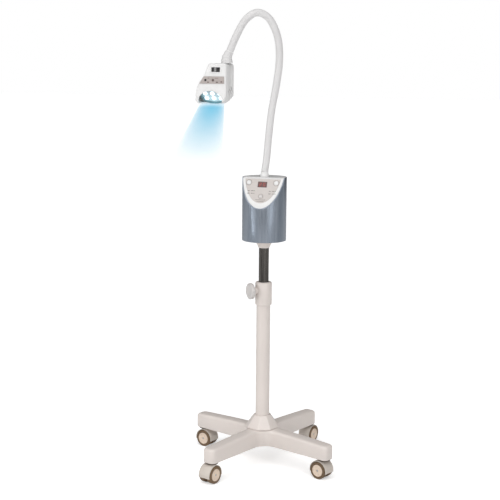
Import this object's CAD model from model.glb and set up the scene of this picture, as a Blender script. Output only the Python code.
from math import atan2, cos, pi, radians, sin

import bmesh
import bpy
from mathutils import Matrix, Vector


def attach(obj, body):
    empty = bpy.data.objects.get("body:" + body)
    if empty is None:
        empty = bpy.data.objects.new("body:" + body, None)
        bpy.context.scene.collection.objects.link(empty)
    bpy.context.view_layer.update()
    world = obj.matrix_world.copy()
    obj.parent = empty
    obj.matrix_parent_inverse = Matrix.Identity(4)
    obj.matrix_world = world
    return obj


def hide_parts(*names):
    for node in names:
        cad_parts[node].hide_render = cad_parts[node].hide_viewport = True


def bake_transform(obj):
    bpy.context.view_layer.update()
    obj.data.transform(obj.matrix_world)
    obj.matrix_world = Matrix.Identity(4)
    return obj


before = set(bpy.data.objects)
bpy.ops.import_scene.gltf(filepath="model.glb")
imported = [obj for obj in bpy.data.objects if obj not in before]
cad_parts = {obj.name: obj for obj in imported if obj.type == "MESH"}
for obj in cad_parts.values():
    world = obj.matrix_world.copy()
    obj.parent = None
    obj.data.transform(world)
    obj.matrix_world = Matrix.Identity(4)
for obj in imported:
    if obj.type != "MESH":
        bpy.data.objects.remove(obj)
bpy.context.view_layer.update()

print("frame loaded")

up = Vector((0, 0, 1))


# small tools for modelling by operator
def clearSelection():
    bpy.ops.object.select_all(action="DESELECT")


def activate(piece):
    clearSelection()
    piece.select_set(True)
    bpy.context.view_layer.objects.active = piece


def enterEdit(piece, mode="EDGE"):
    activate(piece)
    bpy.ops.object.mode_set(mode="EDIT")
    bpy.ops.mesh.select_mode(type=mode)
    bpy.ops.mesh.select_all(action="DESELECT")
    return bmesh.from_edit_mesh(piece.data)


def leaveEdit():
    bpy.ops.object.mode_set(mode="OBJECT")


def applyModifiers(piece):
    activate(piece)
    for modifier in list(piece.modifiers):
        bpy.ops.object.modifier_apply(modifier=modifier.name)


def nameNew(name):
    piece = bpy.context.active_object
    piece.name = name
    piece.data.name = name
    return piece


def cleanNormals(piece):
    enterEdit(piece)
    bpy.ops.mesh.select_all(action="SELECT")
    bpy.ops.mesh.remove_doubles(threshold=0.00002)
    bpy.ops.mesh.normals_make_consistent(inside=False)
    leaveEdit()


def soften(piece, width, segments=3, angle=30):
    bevel = piece.modifiers.new("soften", "BEVEL")
    bevel.width = width
    bevel.segments = segments
    bevel.limit_method = "ANGLE"
    bevel.angle_limit = radians(angle)
    bevel.harden_normals = False
    applyModifiers(piece)


def smooth(piece, angle=32):
    activate(piece)
    bpy.ops.object.shade_smooth_by_angle(angle=radians(angle))


def settle(piece, matrix):
    # puts a finished piece in its place and bakes the place into its mesh
    piece.matrix_world = matrix @ piece.matrix_world
    activate(piece)
    bpy.ops.object.transform_apply(location=True, rotation=True, scale=True)


def copyPiece(piece, name):
    twin = piece.copy()
    twin.data = piece.data.copy()
    twin.name = name
    twin.data.name = name
    bpy.context.scene.collection.objects.link(twin)
    return twin


def boolean(piece, tool, operation="DIFFERENCE", keepTool=False):
    change = piece.modifiers.new("cut", "BOOLEAN")
    change.operation = operation
    change.solver = "EXACT"
    change.object = tool
    applyModifiers(piece)
    if not keepTool:
        bpy.data.objects.remove(tool, do_unlink=True)
    return piece


def joinPieces(name, pieces):
    clearSelection()
    for piece in pieces:
        piece.select_set(True)
    bpy.context.view_layer.objects.active = pieces[0]
    bpy.ops.object.join()
    return nameNew(name)


def turnPiece(name, profile, sides=64, hollow=False):
    # a circle extruded and resized ring by ring along Z; a hollow profile runs back to its first point
    clearSelection()
    radius, height = profile[0]
    fill = "NOTHING" if hollow else "NGON"
    bpy.ops.mesh.primitive_circle_add(vertices=sides, radius=radius, fill_type=fill, location=(0, 0, height))
    piece = nameNew(name)
    bpy.ops.object.transform_apply(location=True, rotation=True, scale=True)
    bpy.ops.object.mode_set(mode="EDIT")
    bpy.ops.mesh.select_all(action="SELECT")
    for nextRadius, nextHeight in profile[1:]:
        bpy.ops.mesh.extrude_region_move(TRANSFORM_OT_translate={"value": (0, 0, nextHeight - height)})
        ratio = nextRadius / radius
        bpy.ops.transform.resize(value=(ratio, ratio, 1), center_override=(0, 0, nextHeight))
        radius, height = nextRadius, nextHeight
    leaveEdit()
    cleanNormals(piece)
    return piece


def blockPiece(name, size, centre=(0, 0, 0), edge=0.0, segments=3):
    clearSelection()
    bpy.ops.mesh.primitive_cube_add(size=1, location=centre, scale=size)
    piece = nameNew(name)
    bpy.ops.object.transform_apply(location=True, rotation=True, scale=True)
    if edge:
        bpy.ops.object.mode_set(mode="EDIT")
        bpy.ops.mesh.select_all(action="SELECT")
        bpy.ops.mesh.bevel(offset=edge, segments=segments, affect="EDGES")
        leaveEdit()
    return piece


def outlinePiece(name, outline, depth, axis="Y", start=0.0):
    # a flat outline in X-Z pushed along Y, or in X-Y pushed along Z
    # it starts as a filled circle, whose corners are moved into place
    clearSelection()
    bpy.ops.mesh.primitive_circle_add(vertices=len(outline), radius=0.1, fill_type="NGON", location=(0, 0, 0))
    piece = nameNew(name)
    for vert, (a, b) in zip(piece.data.vertices, outline):
        vert.co = (a, start, b) if axis == "Y" else (a, b, start)
    bpy.ops.object.mode_set(mode="EDIT")
    bpy.ops.mesh.select_all(action="SELECT")
    shift = (0, depth, 0) if axis == "Y" else (0, 0, depth)
    bpy.ops.mesh.extrude_region_move(TRANSFORM_OT_translate={"value": shift})
    leaveEdit()
    cleanNormals(piece)
    return piece


def finish(piece, body, material, slot, *nodes):
    if material:
        piece.data.materials.clear()
        piece.data.materials.append(material)
    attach(piece, body)
    if nodes:
        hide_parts(*nodes)
    return piece


# materials
def group(name, inputs, outputs):
    tree = bpy.data.node_groups.new(name, "ShaderNodeTree")
    for label, kind, value in inputs:
        socket = tree.interface.new_socket(name=label, in_out="INPUT", socket_type="NodeSocket" + kind)
        if value is not None:
            socket.default_value = value
    for label, kind in outputs:
        tree.interface.new_socket(name=label, in_out="OUTPUT", socket_type="NodeSocket" + kind)
    tree.nodes.new("NodeGroupInput").name = "in"
    tree.nodes.new("NodeGroupOutput").name = "out"
    return tree


def mathNode(tree, operation, a=None, b=None, c=None):
    made = tree.nodes.new("ShaderNodeMath")
    made.operation = operation
    for index, value in enumerate((a, b, c)):
        if value is None:
            continue
        if isinstance(value, (int, float)):
            made.inputs[index].default_value = value
        else:
            tree.links.new(value, made.inputs[index])
    return made.outputs[0]


def mapRange(tree, value, low, high, toLow=0.0, toHigh=1.0):
    made = tree.nodes.new("ShaderNodeMapRange")
    made.clamp = True
    tree.links.new(value, made.inputs["Value"])
    for label, number in (("From Min", low), ("From Max", high), ("To Min", toLow), ("To Max", toHigh)):
        if isinstance(number, (int, float)):
            made.inputs[label].default_value = number
        else:
            tree.links.new(number, made.inputs[label])
    return made.outputs[0]


def objectCoords(tree, scale=(1, 1, 1), rotation=(0, 0, 0)):
    coords = tree.nodes.new("ShaderNodeTexCoord")
    mapping = tree.nodes.new("ShaderNodeMapping")
    mapping.inputs["Scale"].default_value = scale
    mapping.inputs["Rotation"].default_value = rotation
    tree.links.new(coords.outputs["Object"], mapping.inputs["Vector"])
    return mapping.outputs[0]


def noise(tree, vector, scale, detail=2.0, roughness=0.5):
    made = tree.nodes.new("ShaderNodeTexNoise")
    made.inputs["Detail"].default_value = detail
    made.inputs["Roughness"].default_value = roughness
    if isinstance(scale, (int, float)):
        made.inputs["Scale"].default_value = scale
    else:
        tree.links.new(scale, made.inputs["Scale"])
    tree.links.new(vector, made.inputs["Vector"])
    return made.outputs["Fac"]


def makeWearGroup():
    # edge wear and grime: a mask along worn edges and one for dust in low, sheltered places
    tree = group(
        "edgeWear",
        [("Width", "Float", 0.001), ("Breakup", "Float", 90.0)],
        [("Edge", "Float"), ("Smudge", "Float")],
    )
    inside, outside = tree.nodes["in"], tree.nodes["out"]
    bevel = tree.nodes.new("ShaderNodeBevel")
    bevel.samples = 4
    tree.links.new(inside.outputs["Width"], bevel.inputs["Radius"])
    geometry = tree.nodes.new("ShaderNodeNewGeometry")
    dot = tree.nodes.new("ShaderNodeVectorMath")
    dot.operation = "DOT_PRODUCT"
    tree.links.new(bevel.outputs["Normal"], dot.inputs[0])
    tree.links.new(geometry.outputs["Normal"], dot.inputs[1])
    edge = mapRange(tree, dot.outputs["Value"], 0.99, 0.80)
    coords = objectCoords(tree)
    breakup = noise(tree, coords, inside.outputs["Breakup"], 4.0, 0.65)
    broken = mapRange(tree, breakup, 0.42, 0.62)
    tree.links.new(mathNode(tree, "MULTIPLY", edge, broken), outside.inputs["Edge"])
    smudge = noise(tree, coords, 7.0, 3.0, 0.55)
    tree.links.new(mapRange(tree, smudge, 0.35, 0.7), outside.inputs["Smudge"])
    return tree


def makeGrainGroup():
    # fine surface height: rounded pebbles of moulded plastic or powder coat
    tree = group(
        "surfaceGrain",
        [("Scale", "Float", 900.0), ("Coarse", "Float", 60.0), ("Mix", "Float", 0.35)],
        [("Height", "Float")],
    )
    inside, outside = tree.nodes["in"], tree.nodes["out"]
    coords = objectCoords(tree)
    fine = noise(tree, coords, inside.outputs["Scale"], 2.0, 0.5)
    coarse = noise(tree, coords, inside.outputs["Coarse"], 2.0, 0.5)
    fineShare = mathNode(tree, "SUBTRACT", 1.0, inside.outputs["Mix"])
    first = mathNode(tree, "MULTIPLY", fine, fineShare)
    second = mathNode(tree, "MULTIPLY", coarse, inside.outputs["Mix"])
    tree.links.new(mathNode(tree, "ADD", first, second), outside.inputs["Height"])
    return tree


def makeStreakGroup():
    # brushing that runs along Z: very fine lines round the piece, long along it
    tree = group(
        "uprightBrushing",
        [("Fine", "Float", 1400.0), ("Broad", "Float", 70.0)],
        [("Lines", "Float"), ("Bands", "Float")],
    )
    inside, outside = tree.nodes["in"], tree.nodes["out"]
    coords = objectCoords(tree, (1, 1, 0.012))
    fine = noise(tree, coords, inside.outputs["Fine"], 3.0, 0.6)
    tree.links.new(fine, outside.inputs["Lines"])
    wide = objectCoords(tree, (1, 1, 0.03))
    tree.links.new(noise(tree, wide, inside.outputs["Broad"], 2.0, 0.5), outside.inputs["Bands"])
    return tree


wearGroup = makeWearGroup()
grainGroup = makeGrainGroup()
streakGroup = makeStreakGroup()


def place(tree, source, **values):
    made = tree.nodes.new("ShaderNodeGroup")
    made.node_tree = source
    for label, value in values.items():
        made.inputs[label].default_value = value
    return made


def colourMix(tree, fac, a, b, blend="MIX"):
    made = tree.nodes.new("ShaderNodeMix")
    made.data_type = "RGBA"
    made.blend_type = blend
    if isinstance(fac, (int, float)):
        made.inputs[0].default_value = fac
    else:
        tree.links.new(fac, made.inputs[0])
    for index, value in ((6, a), (7, b)):
        if isinstance(value, tuple):
            made.inputs[index].default_value = (*value, 1.0) if len(value) == 3 else value
        else:
            tree.links.new(value, made.inputs[index])
    return made.outputs[2]


def newMaterial(name):
    material = bpy.data.materials.new(name)
    material.use_nodes = True
    tree = material.node_tree
    return material, tree, tree.nodes["Principled BSDF"]


def coated(
    name,
    colour,
    rough,
    grain=900.0,
    bump=0.06,
    wear=(0.5, 0.46, 0.42),
    wearAmount=0.35,
    shade=0.06,
    coarse=60.0,
    mix=0.35,
    metallic=0.0,
    coat=0.0,
    sheen=0.0,
    width=0.0008,
):
    # painted or moulded surface: grain, edge wear, faint smudges in colour and gloss
    material, tree, shader = newMaterial(name)
    wearNode = place(tree, wearGroup, Width=width)
    grainNode = place(tree, grainGroup, Scale=grain, Coarse=coarse, Mix=mix)
    darker = tuple(channel * (1 - shade) for channel in colour)
    base = colourMix(tree, wearNode.outputs["Smudge"], colour, darker)
    amount = mathNode(tree, "MULTIPLY", wearNode.outputs["Edge"], wearAmount)
    tree.links.new(colourMix(tree, amount, base, wear), shader.inputs["Base Color"])
    tree.links.new(
        mapRange(tree, wearNode.outputs["Smudge"], 0.0, 1.0, rough, min(rough + 0.12, 1.0)),
        shader.inputs["Roughness"],
    )
    bump_ = tree.nodes.new("ShaderNodeBump")
    bump_.inputs["Strength"].default_value = bump
    bump_.inputs["Distance"].default_value = 0.0004
    tree.links.new(grainNode.outputs["Height"], bump_.inputs["Height"])
    tree.links.new(bump_.outputs["Normal"], shader.inputs["Normal"])
    shader.inputs["Metallic"].default_value = metallic
    shader.inputs["Coat Weight"].default_value = coat
    shader.inputs["Coat Roughness"].default_value = 0.15
    shader.inputs["Sheen Weight"].default_value = sheen
    return material


def brushed(name, dark, light, rough, fine=1400.0, broad=70.0, metallic=1.0, bump=0.15, wearAmount=0.5):
    material, tree, shader = newMaterial(name)
    streak = place(tree, streakGroup, Fine=fine, Broad=broad)
    wearNode = place(tree, wearGroup, Width=0.0008)
    lines = mapRange(tree, streak.outputs["Lines"], 0.3, 0.7)
    bands = mapRange(tree, streak.outputs["Bands"], 0.35, 0.65)
    both = mathNode(
        tree,
        "ADD",
        mathNode(tree, "MULTIPLY", lines, 0.45),
        mathNode(tree, "MULTIPLY", bands, 0.55),
    )
    base = colourMix(tree, both, dark, light)
    amount = mathNode(tree, "MULTIPLY", wearNode.outputs["Edge"], wearAmount)
    tree.links.new(colourMix(tree, amount, base, (0.62, 0.64, 0.68)), shader.inputs["Base Color"])
    tree.links.new(
        mapRange(tree, streak.outputs["Lines"], 0.3, 0.7, rough - 0.06, rough + 0.1),
        shader.inputs["Roughness"],
    )
    shader.inputs["Metallic"].default_value = metallic
    shader.inputs["Anisotropic"].default_value = 0.5
    bump_ = tree.nodes.new("ShaderNodeBump")
    bump_.inputs["Strength"].default_value = bump
    bump_.inputs["Distance"].default_value = 0.0001
    tree.links.new(streak.outputs["Lines"], bump_.inputs["Height"])
    tree.links.new(bump_.outputs["Normal"], shader.inputs["Normal"])
    return material


def glow(name, colour, strength, base=(0.02, 0.02, 0.02), rough=0.2):
    material, tree, shader = newMaterial(name)
    coords = objectCoords(tree)
    speck = noise(tree, coords, 900.0, 2.0)
    tone = colourMix(
        tree,
        mapRange(tree, speck, 0.3, 0.7),
        colour,
        tuple(channel * 0.85 for channel in colour),
    )
    tree.links.new(tone, shader.inputs["Emission Color"])
    shader.inputs["Emission Strength"].default_value = strength
    shader.inputs["Base Color"].default_value = (*base, 1)
    tree.links.new(mapRange(tree, speck, 0.3, 0.7, rough, rough + 0.08), shader.inputs["Roughness"])
    return material


warmPaint = coated(
    "warmPaint",
    (0.73, 0.665, 0.625),
    0.36,
    700.0,
    0.10,
    (0.55, 0.49, 0.46),
    0.25,
    0.05,
    45.0,
    0.3,
    coat=0.15,
)
whitePlastic = coated("whitePlastic", (0.79, 0.785, 0.78), 0.30, 1500.0, 0.05, (0.62, 0.61, 0.60), 0.25, 0.03)
neckSleeve = coated(
    "neckSleeve",
    (0.70, 0.69, 0.69),
    0.42,
    1200.0,
    0.05,
    (0.70, 0.69, 0.68),
    0.1,
    0.03,
    sheen=0.1,
)
darkTube = brushed(
    "darkTube",
    (0.018, 0.016, 0.015),
    (0.16, 0.15, 0.14),
    0.16,
    1800.0,
    160.0,
    0.95,
    0.05,
    0.3,
)
boxMetal = brushed("boxMetal", (0.155, 0.185, 0.225), (0.33, 0.365, 0.42), 0.30, 1500.0, 38.0, 0.9, 0.15)
panelSkin = coated("panelSkin", (0.60, 0.555, 0.53), 0.42, 2600.0, 0.05, (0.7, 0.66, 0.63), 0.2, 0.05)
panelPrint = coated("panelPrint", (0.16, 0.14, 0.13), 0.45, 2600.0, 0.03, (0.5, 0.48, 0.46), 0.2, 0.08)
ringPrint = coated("ringPrint", (0.36, 0.325, 0.305), 0.42, 2600.0, 0.03, (0.5, 0.48, 0.46), 0.2, 0.08)
stripSkin = coated("stripSkin", (0.46, 0.405, 0.385), 0.40, 2600.0, 0.04, (0.6, 0.55, 0.52), 0.2, 0.05)
stripPrint = coated("stripPrint", (0.13, 0.095, 0.085), 0.42, 2600.0, 0.04, (0.3, 0.26, 0.24), 0.2, 0.08)
keyGrey = coated("keyGrey", (0.62, 0.59, 0.575), 0.22, 1800.0, 0.03, (0.7, 0.68, 0.66), 0.2, 0.04, coat=0.5)
treadRubber = coated("treadRubber", (0.165, 0.100, 0.050), 0.48, 900.0, 0.2, (0.28, 0.20, 0.13), 0.5, 0.25)
sealBrown = coated("sealBrown", (0.075, 0.048, 0.030), 0.5, 1100.0, 0.12, (0.18, 0.13, 0.09), 0.4, 0.2)
discPlastic = coated("discPlastic", (0.78, 0.64, 0.52), 0.36, 1400.0, 0.06, (0.50, 0.40, 0.31), 0.4, 0.08)
hoodPlastic = coated("hoodPlastic", (0.60, 0.54, 0.485), 0.38, 1400.0, 0.06, (0.46, 0.40, 0.34), 0.4, 0.10)
blackPlastic = coated("blackPlastic", (0.018, 0.018, 0.019), 0.42, 1500.0, 0.2, (0.09, 0.09, 0.09), 0.5, 0.2)
linerGrey = coated("linerGrey", (0.15, 0.26, 0.28), 0.35, 1500.0, 0.08, (0.15, 0.16, 0.17), 0.3, 0.15)
zincSteel = brushed("zincSteel", (0.42, 0.42, 0.42), (0.62, 0.62, 0.63), 0.30, 900.0, 100.0)
plainAluminium = brushed("plainAluminium", (0.50, 0.51, 0.52), (0.70, 0.71, 0.72), 0.34, 900.0, 60.0)
nylonPlastic = coated("nylonPlastic", (0.70, 0.68, 0.62), 0.45, 1500.0, 0.08, (0.6, 0.58, 0.5), 0.3, 0.06)
windowGlass = coated(
    "windowGlass",
    (0.115, 0.030, 0.026),
    0.10,
    600.0,
    0.01,
    (0.1, 0.05, 0.05),
    0.1,
    0.3,
    coat=0.6,
)
blackGlass = coated(
    "blackGlass",
    (0.008, 0.007, 0.008),
    0.08,
    600.0,
    0.01,
    (0.05, 0.05, 0.05),
    0.1,
    0.3,
    coat=0.6,
)
digitRed = glow("digitRed", (0.9, 0.10, 0.05), 0.30, (0.25, 0.03, 0.02))
lampGreen = glow("lampGreen", (0.25, 0.7, 0.30), 0.10, (0.12, 0.22, 0.12))
lensBlue = glow("lensBlue", (0.72, 0.90, 1.0), 1.5, (0.75, 0.88, 0.95), 0.1)


def makeWellMaterial():
    # reflector plate: dark above, washed in blue light low down where the lamps shine
    material, tree, shader = newMaterial("lensWell")
    coords = tree.nodes.new("ShaderNodeTexCoord")
    parts = tree.nodes.new("ShaderNodeSeparateXYZ")
    tree.links.new(coords.outputs["Object"], parts.inputs[0])
    low = mapRange(tree, parts.outputs["Z"], 1.082, 1.052)
    speck = noise(tree, coords.outputs["Object"], 1200.0, 2.0)
    dark = colourMix(tree, mapRange(tree, speck, 0.3, 0.7), (0.30, 0.34, 0.37), (0.34, 0.38, 0.41))
    tree.links.new(colourMix(tree, low, dark, (0.52, 0.64, 0.68)), shader.inputs["Base Color"])
    tree.links.new(
        colourMix(tree, low, (0.06, 0.08, 0.09), (0.20, 0.34, 0.39)),
        shader.inputs["Emission Color"],
    )
    shader.inputs["Emission Strength"].default_value = 0.8
    tree.links.new(mapRange(tree, speck, 0.3, 0.7, 0.22, 0.34), shader.inputs["Roughness"])
    return material


lensWell = makeWellMaterial()


def makeBoardMaterial():
    # green solder resist with copper lanes under it and tinned pads
    material, tree, shader = newMaterial("circuitBoard")
    coords = objectCoords(tree, (1, 1, 1), (radians(31), 0, 0))
    brick = tree.nodes.new("ShaderNodeTexBrick")
    tree.links.new(coords, brick.inputs["Vector"])
    brick.inputs["Scale"].default_value = 160.0
    brick.inputs["Mortar Size"].default_value = 0.05
    brick.inputs["Color1"].default_value = (0.02, 0.16, 0.06, 1)
    brick.inputs["Color2"].default_value = (0.03, 0.20, 0.08, 1)
    brick.inputs["Mortar"].default_value = (0.10, 0.34, 0.16, 1)
    pads = tree.nodes.new("ShaderNodeTexVoronoi")
    pads.inputs["Scale"].default_value = 220.0
    tree.links.new(coords, pads.inputs["Vector"])
    pad = mapRange(tree, pads.outputs["Distance"], 0.16, 0.12)
    tree.links.new(
        colourMix(tree, pad, brick.outputs["Color"], (0.72, 0.70, 0.62)),
        shader.inputs["Base Color"],
    )
    tree.links.new(mapRange(tree, pad, 0.0, 1.0, 0.4, 0.25), shader.inputs["Roughness"])
    tree.links.new(pad, shader.inputs["Metallic"])
    return material


circuitBoard = makeBoardMaterial()
print("materials made")


# CAD nodes that keep their own shape get a finished material
def dressNode(nodeName, material):
    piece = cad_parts[nodeName]
    for slot in piece.material_slots:
        slot.material = material


insideNodes = {
    "base_bolt": zincSteel,
    "column_plug": zincSteel,
    "swivel_ring": zincSteel,
    "mast_bush": nylonPlastic,
    "mast_glide": nylonPlastic,
    "clamp_shoe": nylonPlastic,
    "power_supply": plainAluminium,
    "heat_sink": plainAluminium,
    "panel_board": circuitBoard,
    "led_board": circuitBoard,
    "fan_rotor": blackPlastic,
}
for nodeName, material in insideNodes.items():
    dressNode(nodeName, material)


# cross base
baseShape = {
    "bottom": 0.0580,
    "reach": 0.2440,
    "width": 0.041,
    "endTop": 0.0985,
    "hubTop": 0.1055,
    "hubReach": 0.060,
    "fillet": 0.040,
    "endRound": 0.014,
    "edgeRound": 0.0080,
    "foot": 0.0012,
    "arms": (-24.7, 65.3, 155.3, 245.3),
    "archPower": 1.4,
    "stations": (0.0605, 0.10, 0.14, 0.18, 0.22),
    "bores": ((0.0203, 0.0735, 0.13), (0.0100, 0.05, 0.066), (0.0053, 0.05, 0.08)),
    "stemHole": (0.0058, 0.05, 0.0865),
    "stemCircle": 0.2234,
}


def arcPoints(centre, radius, start, end, steps):
    points = []
    for step in range(steps + 1):
        angle = radians(start + (end - start) * step / steps)
        points.append(Vector((centre[0] + radius * cos(angle), centre[1] + radius * sin(angle))))
    return points


def crossOutline():
    shape = baseShape
    half, reach, round_ = shape["width"] / 2, shape["reach"], shape["endRound"]
    middle = half + shape["fillet"]
    quarter = arcPoints((reach - round_, -half + round_), round_, 270, 360, 6)
    quarter += arcPoints((reach - round_, half - round_), round_, 0, 90, 6)
    quarter += arcPoints((middle, middle), shape["fillet"], 270, 180, 12)
    outline = []
    for arm in range(4):
        turn = Matrix.Rotation(radians(90 * arm), 2)
        outline += [tuple(turn @ point) for point in quarter]
    return outline


def armTop(distance):
    # flat over the hub, then a slow arch down to the arm's end
    shape = baseShape
    part = max(0.0, (distance - shape["hubReach"]) / (shape["reach"] - shape["hubReach"]))
    return shape["hubTop"] - (shape["hubTop"] - shape["endTop"]) * part ** shape["archPower"]


def makeBase():
    shape = baseShape
    base = outlinePiece("crossBase", crossOutline(), shape["hubTop"] - shape["bottom"], "Z", shape["bottom"])
    enterEdit(base)
    for station in shape["stations"]:
        for way in ((1, 0, 0), (-1, 0, 0), (0, 1, 0), (0, -1, 0)):
            bpy.ops.mesh.select_all(action="SELECT")
            spot = tuple(value * station for value in way)
            bpy.ops.mesh.bisect(plane_co=spot, plane_no=way)
    mesh = bmesh.from_edit_mesh(base.data)
    for vert in mesh.verts:
        if vert.co.z > shape["hubTop"] - 0.001:
            vert.co.z = armTop(max(abs(vert.co.x), abs(vert.co.y)))
    for low, width, segments in ((0.9, shape["edgeRound"], 5), (-0.9, shape["foot"], 2)):
        mesh = bmesh.from_edit_mesh(base.data)
        mesh.normal_update()
        bpy.ops.mesh.select_all(action="DESELECT")
        for edge in mesh.edges:
            tilts = [abs(face.normal.z) if face.normal.z * low > 0 else 0.0 for face in edge.link_faces]
            edge.select = len(tilts) == 2 and max(tilts) > 0.9 and min(tilts) < 0.3
        bpy.ops.mesh.bevel(offset=width, segments=segments, affect="EDGES")
    leaveEdit()
    settle(base, Matrix.Rotation(radians(shape["arms"][0]), 4, "Z"))
    for radius, low, high in shape["bores"]:
        boolean(base, turnPiece("bore", [(radius, low), (radius, high)], 56))
    for angle in shape["arms"]:
        radius, low, high = shape["stemHole"]
        stemHole = turnPiece("stemHole", [(radius, low), (radius, high)], 32)
        turn = Matrix.Rotation(radians(angle), 4, "Z")
        settle(stemHole, turn @ Matrix.Translation((shape["stemCircle"], 0, 0)))
        boolean(base, stemHole)
    smooth(base, 35)
    return finish(base, "base", warmPaint, "warm_paint", "base_frame")


makeBase()


def makeHubCover():
    cover = {
        "bottom": 0.1058,
        "rim": 0.0030,
        "height": 0.0365,
        "low": 0.0498,
        "high": 0.0253,
        "bore": 0.0203,
        "facets": 8,
    }
    bottom = cover["bottom"]
    profile = [
        (cover["low"], bottom),
        (cover["low"], bottom + cover["rim"]),
        (cover["high"], bottom + cover["height"]),
    ]
    piece = turnPiece("hubCoverShell", profile, cover["facets"])
    settle(piece, Matrix.Rotation(radians(baseShape["arms"][0] + 22.5), 4, "Z"))
    soften(piece, 0.0022, 4, 20)
    bore = turnPiece("hubBore", [(cover["bore"], bottom - 0.01), (cover["bore"], bottom + 0.06)], 64)
    boolean(piece, bore)
    smooth(piece, 30)
    finish(piece, "base", warmPaint, "warm_paint", "hub_cover")


makeHubCover()


# column, collar and clamp
columnShape = {
    "radius": 0.020,
    "inner": 0.018,
    "seat": 0.074,
    "top": 0.525,
    "collarLow": 0.4705,
    "collarTop": 0.537,
    "collarRadius": 0.024,
    "mast": 0.0145,
}


def makeColumn():
    shape = columnShape
    inner, outer = shape["inner"], shape["radius"]
    profile = [(inner, shape["seat"]), (outer - 0.0006, shape["seat"]), (outer, shape["seat"] + 0.0006)]
    profile += [
        (outer, shape["top"] - 0.0006),
        (outer - 0.0006, shape["top"]),
        (inner, shape["top"]),
        (inner, shape["seat"]),
    ]
    tube = turnPiece("columnTube", profile, 72, True)
    smooth(tube)
    finish(tube, "base", warmPaint, "warm_paint", "column_tube")
    low, top, outside = shape["collarLow"], shape["collarTop"], shape["collarRadius"]
    bore, mastBore = outer + 0.0002, shape["mast"] + 0.0003
    profile = [
        (bore, low),
        (outside - 0.0016, low),
        (outside - 0.0005, low + 0.0006),
        (outside, low + 0.0022),
        (outside, top - 0.0042),
        (outside - 0.0010, top - 0.0018),
        (outside - 0.0030, top - 0.0004),
        (outside - 0.0045, top),
        (mastBore + 0.0008, top),
        (mastBore, top - 0.0008),
        (mastBore, shape["top"] + 0.0003),
        (bore, shape["top"] + 0.0003),
        (bore, low),
    ]
    collar = turnPiece("clampCollar", profile, 72, True)
    bossTool = turnPiece("boss", [(0.0100, 0.0215), (0.0100, 0.0285), (0.0090, 0.0295)], 48)
    settle(bossTool, clampPlace)
    boolean(collar, bossTool, "UNION")
    # a saw cut beside the boss lets the sleeve close on the tube
    slot = blockPiece("slot", (0.012, 0.0016, 0.030), (-0.024, 0, 0.5))
    boolean(collar, slot)
    screwHole = turnPiece("screwHole", [(0.0043, 0.010), (0.0043, 0.040)], 32)
    settle(screwHole, clampPlace)
    boolean(collar, screwHole)
    smooth(collar, 40)
    finish(collar, "base", warmPaint, "warm_paint", "clamp_collar")


clampPlace = Matrix.Translation((0, 0, 0.512)) @ Matrix.Rotation(
    radians(-140.5),
    4,
    "Z",
) @ Matrix.Rotation(pi / 2, 4, "Y")
makeColumn()


def makeKnob():
    shape = {
        "radius": 0.0233,
        "start": 0.0300,
        "depth": 0.0172,
        "lobes": 8,
        "flute": 0.0052,
        "screw": 0.0039,
        "tip": 0.0199,
    }
    start, depth, radius = shape["start"], shape["depth"], shape["radius"]
    profile = [
        (0.0115, start),
        (0.0120, start + 0.0005),
        (0.0125, start + 0.0030),
        (0.0160, start + 0.0046),
        (radius - 0.0014, start + 0.0056),
        (radius, start + 0.0072),
        (radius, start + depth - 0.0034),
        (radius - 0.0010, start + depth - 0.0014),
        (radius - 0.0034, start + depth - 0.0003),
        (radius - 0.0060, start + depth),
        (0.0110, start + depth),
        (0.0100, start + depth - 0.0008),
        (0.0006, start + depth - 0.0008),
    ]
    knob = turnPiece("clampKnob", profile, 96)
    for index in range(shape["lobes"]):
        angle = 2 * pi * index / shape["lobes"]
        flute = turnPiece(
            "flute",
            [(shape["flute"], start + 0.002), (shape["flute"], start + depth + 0.01)],
            32,
        )
        reach = radius + shape["flute"] * 0.72
        settle(flute, Matrix.Translation((reach * cos(angle), reach * sin(angle), 0)))
        boolean(knob, flute)
    soften(knob, 0.0005, 2, 38)
    screw = turnPiece(
        "screw",
        [
            (shape["screw"] - 0.0008, shape["tip"]),
            (shape["screw"], shape["tip"] + 0.0008),
            (shape["screw"], start + 0.001),
        ],
        32,
    )
    boolean(knob, screw, "UNION")
    settle(knob, clampPlace)
    smooth(knob, 40)
    finish(knob, "knob", keyGrey, "white_plastic", "clamp_knob")


makeKnob()


# mast, cone adapter
def makeMast():
    shape = {"radius": 0.0145, "inner": 0.0125, "bottom": 0.215, "top": 0.6475}
    inner, outer, low, top = shape["inner"], shape["radius"], shape["bottom"], shape["top"]
    profile = [
        (inner, low),
        (outer - 0.0005, low),
        (outer, low + 0.0005),
        (outer, top - 0.0005),
        (outer - 0.0005, top),
        (inner, top),
        (inner, low),
    ]
    tube = turnPiece("mastTube", profile, 72, True)
    smooth(tube)
    finish(tube, "mast", darkTube, "dark_tube", "mast_tube")
    bottom, seat = 0.6363, 0.6582
    bore = outer + 0.0003
    profile = [
        (bore, bottom),
        (0.0156, bottom),
        (0.0160, bottom + 0.0004),
        (0.0186, bottom + 0.0070),
        (0.0228, bottom + 0.0148),
        (0.0240, bottom + 0.0176),
        (0.0240, seat - 0.0006),
        (0.0234, seat),
        (0.0080, seat),
        (0.0080, seat + 0.018),
        (0.0050, seat + 0.018),
        (0.0050, 0.6478),
        (bore, 0.6478),
        (bore, bottom),
    ]
    cone = turnPiece("coneAdapter", profile, 64, True)
    smooth(cone)
    finish(cone, "mast", warmPaint, "warm_paint", "cone_adapter")


makeMast()
print("base and mast made")

# control box
boxShape = {
    "radius": 0.063,
    "wall": 0.0022,
    "bottom": 0.6585,
    "top": 0.8385,
    "chord": 0.0132,
    "slope": 60.0,
    "rim": 0.0068,
}
panelPlace = Matrix.Translation(
    (0, -boxShape["chord"], boxShape["top"]),
) @ Matrix.Rotation(radians(boxShape["slope"]), 4, "X")


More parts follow.
